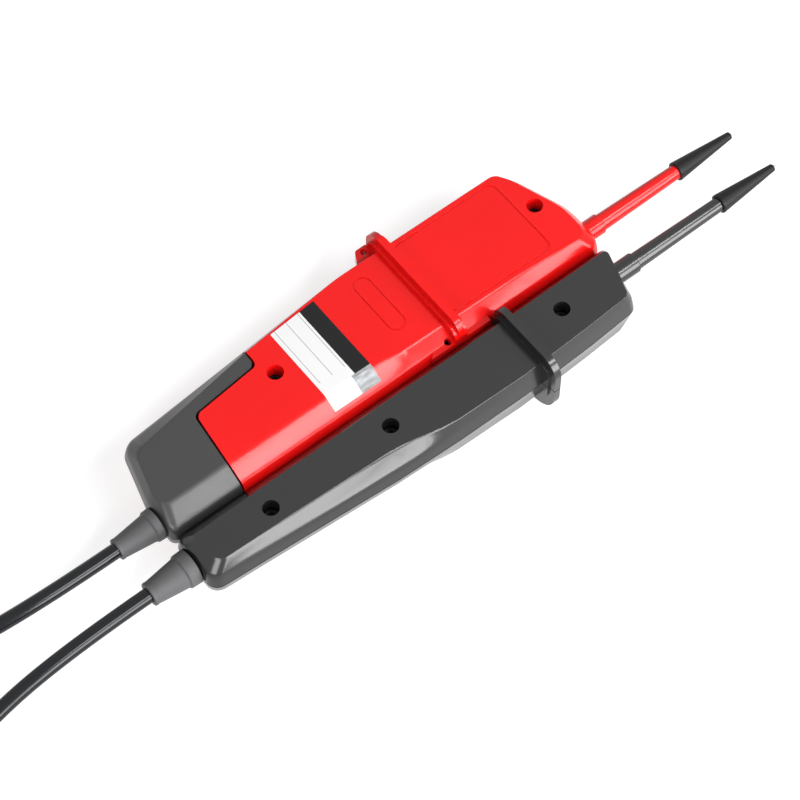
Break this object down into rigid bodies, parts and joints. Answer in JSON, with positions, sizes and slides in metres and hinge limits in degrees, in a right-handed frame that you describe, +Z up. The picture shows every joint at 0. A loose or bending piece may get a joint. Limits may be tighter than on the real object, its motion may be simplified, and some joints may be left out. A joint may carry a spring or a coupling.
{
  "type": "two-pole voltage tester",
  "caption": "Two-pole voltage tester: a display unit and a slim probe unit docked side by side, with finger guards, capped tips and a joining cable.",
  "frame": {"origin": "middle of the bounding box without the cord, on the surface that the finger guards rest on", "axes": "+X along both units towards the tips, +Z up out of the backs of the housings, +Y across from the probe unit to the display unit"},
  "size_m": [0.4455, 0.0842, 0.031],
  "materials": {
    "red_case": "satin",
    "grey_case": "satin",
    "seal": "matte",
    "gland_rubber": "matte",
    "black_plastic": "satin",
    "cord_jacket": "gloss",
    "tip_steel": "brushed",
    "screw_steel": "satin",
    "label_white": "satin",
    "board_green": "satin",
    "display_glass": "polished",
    "display_body": "matte",
    "lamp_red": "gloss",
    "button_grey": "matte",
    "cell_wrap": "gloss",
    "contact_metal": "polished"
  },
  "bodies": {
    "display_unit": {"main_back_shell": "red_case", "main_front_shell": "red_case", "main_gasket": "seal", "main_circuit_board": "board_green", "display_module": "display_body", "display_window": "display_glass", "level_lamps": "lamp_red", "buzzer": "black_plastic", "main_switches": "black_plastic", "battery_cells": "cell_wrap", "battery_contacts": "contact_metal", "main_case_screws": "screw_steel", "main_tip_sleeve": "black_plastic", "main_tip_rod": "tip_steel", "main_cable_gland": "gland_rubber", "rating_label": "label_white", "cord_main_run": "cord_jacket", "cord_coil": "cord_jacket", "cord_probe_run": "cord_jacket"},
    "probe_unit": {"probe_back_shell": "grey_case", "probe_front_shell": "grey_case", "probe_gasket": "seal", "probe_circuit_board": "board_green", "series_resistors": "black_plastic", "probe_case_screws": "screw_steel", "probe_tip_sleeve": "black_plastic", "probe_tip_rod": "tip_steel", "probe_cable_gland": "gland_rubber", "probe_switch": "black_plastic"},
    "battery_door": {"battery_cover": "grey_case"},
    "hold_key": {"hold_button": "button_grey"},
    "test_key": {"test_button": "button_grey"},
    "probe_key": {"probe_test_button": "button_grey"},
    "display_cap": {"main_tip_cap": "black_plastic"},
    "probe_cap": {"probe_tip_cap": "black_plastic"}
  },
  "joints": [
    {"name": "probe_slide", "type": "slide", "parent": "display_unit", "child": "probe_unit", "axis": [1, 0, 0], "range_m": [0, 0.01]},
    {"name": "battery_cover_lift", "type": "slide", "parent": "display_unit", "child": "battery_door", "axis": [0, 0, 1], "range_m": [0, 0.03]},
    {"name": "hold_press", "type": "slide", "parent": "display_unit", "child": "hold_key", "axis": [0, 0, 1], "range_m": [0, 0.001], "stiffness_N_per_m": 600, "springref_m": -0.001},
    {"name": "test_press", "type": "slide", "parent": "display_unit", "child": "test_key", "axis": [0, 0, 1], "range_m": [0, 0.001], "stiffness_N_per_m": 600, "springref_m": -0.001},
    {"name": "probe_test_press", "type": "slide", "parent": "probe_unit", "child": "probe_key", "axis": [0, 0, 1], "range_m": [0, 0.001], "stiffness_N_per_m": 600, "springref_m": -0.001},
    {"name": "display_cap_pull", "type": "slide", "parent": "display_unit", "child": "display_cap", "axis": [1, 0, 0], "range_m": [0, 0.03]},
    {"name": "probe_cap_pull", "type": "slide", "parent": "probe_unit", "child": "probe_cap", "axis": [1, 0, 0], "range_m": [0, 0.03]}
  ]
}
